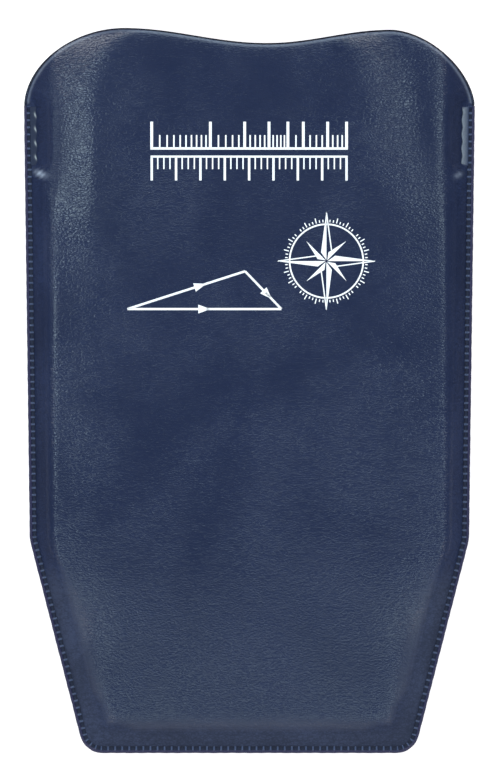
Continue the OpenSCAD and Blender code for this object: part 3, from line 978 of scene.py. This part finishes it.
def make_calculator_print():
    fixed = Ink()
    log_scale(fixed, 1, disc_r + 0.6, disc_r + 5.6)
    fixed.arc(disc_r + 8.0, 0.2)
    plate_lines(fixed)
    fixed.build("fixed_scale_print", "computer", "frame_plastic", black_print, scale_top)

    turning = Ink()
    log_scale(turning, -1, disc_r - 0.3, disc_r - 5.2)
    turning.arc(disc_r - 7.6, 0.25)
    turning.arc(disc_r - 14.2, 0.18)
    for minutes in range(10, 100):
        turning.tick(log_angle(minutes), disc_r - 14.2, disc_r - (12.4 if minutes % 5 else 11.6), 0.14)
    for minutes in (10, 15, 20, 30, 40, 50, 60, 70, 80, 90):
        turning.figures(f"{minutes // 6}:{minutes % 6}0", log_angle(minutes), disc_r - 9.8, 2.2)
    turning.build("disc_print", "disc", "disc_plastic", black_print, disc_high[2])

    index, sixty = Ink(), log_angle(60)
    index.triangle(index.spot(sixty, disc_r - 0.3), index.spot(sixty + 2.4, disc_r - 7.0),
                   index.spot(sixty - 2.4, disc_r - 7.0))
    for r in (20.5, 22.5):
        index.arc(r, 0.3)
    index.build("disc_index", "disc", "disc_plastic", red_print, disc_high[2] + 0.02)

    under = Ink()
    for inner, outer in ((24.6, 29.4), (31.2, 34.8)):
        for k in range(72):
            under.tick(5 * k, inner + (1.2 if k % 2 else 0), inner + 2.2, 0.16)
        for k in range(36):
            under.figures((k % 9) * 10, 10 * k, inner + 3.6, 1.7)
        under.arc(outer, 0.15)
    under.build("window_scale_print", "computer", "frame_plastic", green_print, base_top)


def plate_lines(ink):
    """Rulers along the plate's long edges, and a few plain rules below the dial."""
    x = plate_high[0] - 1.2
    for side in (-1, 1):
        for k in range(101):
            y = plate_low[1] + 34 + k
            long = graded(k, 3.0, 2.0, 1.2)
            if side < 0 and long > 2 and abs(y - dial_y) < 34:
                long = 2.6
            ink.line((side * x, y), (side * (x - long), y), 0.14)
    y0 = plate_low[1] + 14
    for k in range(4):
        ink.line((-46, y0 + 5.2 * k), (46, y0 + 5.2 * k), 0.2)
    for x in (-46, -18, 18, 46):
        ink.line((x, y0), (x, y0 + 15.6), 0.2)


def make_wind_print():
    ring_r, top = 53.9, 90
    plate = Ink()
    plate.triangle(plate.spot(top, ring_r + 0.4), plate.spot(top + 2.2, ring_r + 5.6),
                   plate.spot(top - 2.2, ring_r + 5.6))
    for k in range(-50, 51):
        if abs(k) < 3:
            continue
        plate.tick(top + k, ring_r + 0.7, ring_r + 0.7 + graded(k, 3.2, 2.3, 1.5), 0.18)
        if k % 10 == 0:
            plate.figures(abs(k), top + k, ring_r + 5.6, 2.6)
    plate.build("wind_plate_print", "computer", "frame_plastic", black_print, plate_low[2], out=-1)

    rose = Ink()
    for k in range(360):
        rose.tick(k, ring_r - 0.4 - graded(k, 4.4, 3.2, 2.1), ring_r - 0.4, 0.13 if k % 5 else 0.2)
    for k in range(36):
        label = {0: "N", 9: "E", 18: "S", 27: "W"}.get(k, k * 10)
        rose.figures(label, 90 - 10 * k, ring_r - 7.4, 2.5 if k % 9 else 4.2)
    rose.build("azimuth_print", "azimuth", "disc_plastic", black_print, ring_bottom, out=-1)


def clipped(ink, a, b, width, half, y0, y1):
    """A line cut to a rectangle about x = 0."""
    corners = [Vector(c) for c in ((-half, y0), (half, y0), (half, y1), (-half, y1))]
    crossings = [geometry.intersect_line_line_2d(Vector(a), Vector(b), p, q)
                 for p, q in zip(corners, corners[1:] + corners[:1])]
    hits = sorted((hit for hit in crossings if hit is not None), key=lambda hit: hit.y)
    if len(hits) >= 2 and (hits[-1] - hits[0]).length > 1:
        ink.line(hits[0], hits[-1], width)


def make_slide_print(name, out, first, step, spread):
    """A wind grid: arcs of equal speed about one far point, crossed by drift lines."""
    half, y0, y1 = slide_high[0] - 3.0, slide_low[1] + 4.0, slide_high[1] - 4.0
    ink = Ink(centre=(0.0, y0 - first))
    for k in range(int((y1 - y0) / step) + 1):
        r = first + k * step
        reach = math.degrees(min(math.asin(min(1.0, half / r)), math.acos(first / r)))
        if reach < 3:
            continue
        heavy = k % 5 == 0
        ink.arc(r, 0.26 if heavy else 0.13, 90 - reach, 90 + reach)
        if heavy and y0 + k * step + 3.2 < y1:
            ink.text(str(20 + 4 * k), (2.8, y0 + k * step + 1.6), 2.6)
    for k in range(-spread, spread + 1):
        near, far = ink.spot(90 + 2 * k, first * 0.5), ink.spot(90 + 2 * k, 600)
        clipped(ink, near, far, 0.13 if k % 5 else 0.26, half, y0, y1)
    for x in (-half, half):
        ink.line((x, y0), (x, y1), 0.3)
    for y in (y0, y1):
        ink.line((-half, y), (half, y), 0.3)
    face_z = slide_high[2] if out > 0 else slide_low[2]
    ink.build(name, "slide", "slide_plastic", green_print, face_z, out)


# ---- build the object

make_front_sheet()
make_back_sheet()
make_linings()
make_weld()
make_mouth_pad("mouth_pad_left", "mouth_weld_left", -1)
make_mouth_pad("mouth_pad_right", "mouth_weld_right", 1)
make_front_print()
make_calculator_print()
make_wind_print()
make_slide_print("slide_print_front", 1, 90, 5, 15)
make_slide_print("slide_print_back", -1, 150, 4, 10)

CAD_FINISH = {
    ivory: ["wind_plate", "rail_left", "rail_right", "calculator_plate", "fixed_scale_plate"],
    white: ["calculator_disc", "azimuth_ring", "wind_slide"],
    clear: ["plotting_window"],
    nickel_plate: ["azimuth_retaining_ring", "pivot_eyelet", "frame_eyelets", "window_centre_eyelet"],
    black_felt: ["disc_friction_washer"],
}
for material, names in CAD_FINISH.items():
    for name in names:
        paint(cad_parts[name], material)


# ---- studio

def make_floor():
    bpy.ops.mesh.primitive_plane_add(size=6, location=(0, 0, -0.0001))
    floor = bpy.context.object
    floor.name = "floor"
    n = Nodes("floor_paper")
    tone = n.mixed(n.noise(3.0), (0.93, 0.93, 0.935), (0.95, 0.95, 0.955))
    paint(floor, n.set(Base_Color=tone, Roughness=0.9, Specular_IOR_Level=0.1,
                       Emission_Color=(1.0, 0.86, 0.83), Emission_Strength=0.42))


def softbox(name, at, aim, width, height, power, colour):
    """An area light at a point, in metres, facing a point of the floor."""
    light = bpy.data.lights.new(name, "AREA")
    light.shape = "RECTANGLE"
    light.size, light.size_y = width, height
    light.energy = power
    light.color = colour
    obj = bpy.data.objects.new(name, light)
    obj.location = at
    obj.rotation_mode = "QUATERNION"
    obj.rotation_quaternion = (Vector(at) - Vector((*aim, 0))).to_track_quat("Z", "Y")
    bpy.context.scene.collection.objects.link(obj)


def make_world():
    world = bpy.data.worlds.new("studio")
    world.use_nodes = True
    background = world.node_tree.nodes["Background"].inputs
    background["Color"].default_value = (0.95, 0.97, 1.0, 1)
    background["Strength"].default_value = 0.05
    bpy.context.scene.world = world


def make_camera():
    """Straight above the pouch, framed as the photograph is."""
    camera = bpy.data.cameras.new("camera")
    camera.lens, camera.sensor_width = 420, 36
    camera.clip_end = 20
    seen_height = 0.2697  # metres of floor from the picture's top to its foot
    obj = bpy.data.objects.new("camera", camera)
    obj.location = (0.0002, -0.0002, seen_height * camera.lens / camera.sensor_width)
    bpy.context.scene.collection.objects.link(obj)
    bpy.context.scene.camera = obj


NEUTRAL, COOL = (1, 1, 1), (0.78, 1.0, 1.10)
SOFTBOXES = [  # name, place, aim, width, height, power
    ("mouth_left", (-0.20, 0.085, 0.395), (-0.06, 0.085), 0.12, 0.07, 0.27),
    ("wall_left", (-0.25, 0.10, 0.17), (-0.068, 0.10), 0.08, 0.06, 0.035),
    ("mouth_right", (0.19, 0.10, 0.395), (0.055, 0.10), 0.07, 0.10, 0.14),
    ("patch_left", (-0.165, -0.165, 0.395), (-0.056, -0.08), 0.10, 0.10, 0.115),
    ("patch_right", (0.165, -0.16, 0.395), (0.056, -0.08), 0.10, 0.10, 0.115),
    ("steep_left", (-0.38, -0.21, 0.24), (-0.06, -0.09), 0.08, 0.16, 0.050),
    ("steep_right", (0.37, -0.19, 0.27), (0.06, -0.09), 0.08, 0.16, 0.060),
    ("foot_light", (0, -0.25, 0.60), (0, -0.10), 0.30, 0.12, 0.28),
    ("foot_wall", (0, -0.42, 0.45), (0, -0.12), 0.90, 0.30, 0.24),
    ("lip_light", (0, 0.45, 0.50), (0, 0.12), 0.40, 0.20, 0.70),
    ("lip_left", (-0.33, 0.39, 0.32), (-0.06, 0.12), 0.12, 0.10, 0.12),
    ("lip_right", (0.33, 0.39, 0.32), (0.06, 0.12), 0.12, 0.10, 0.15),
]
make_floor()
make_world()
for side_x in (-0.80, 0.80):
    for end_y in (-1.05, 1.05):
        softbox("far_fill", (side_x, end_y, 1.10), (0, 0), 1.0, 0.6, 9.4, NEUTRAL)
for settings in SOFTBOXES:
    softbox(*settings, COOL)
make_camera()
bpy.context.scene.view_settings.view_transform = "Standard"
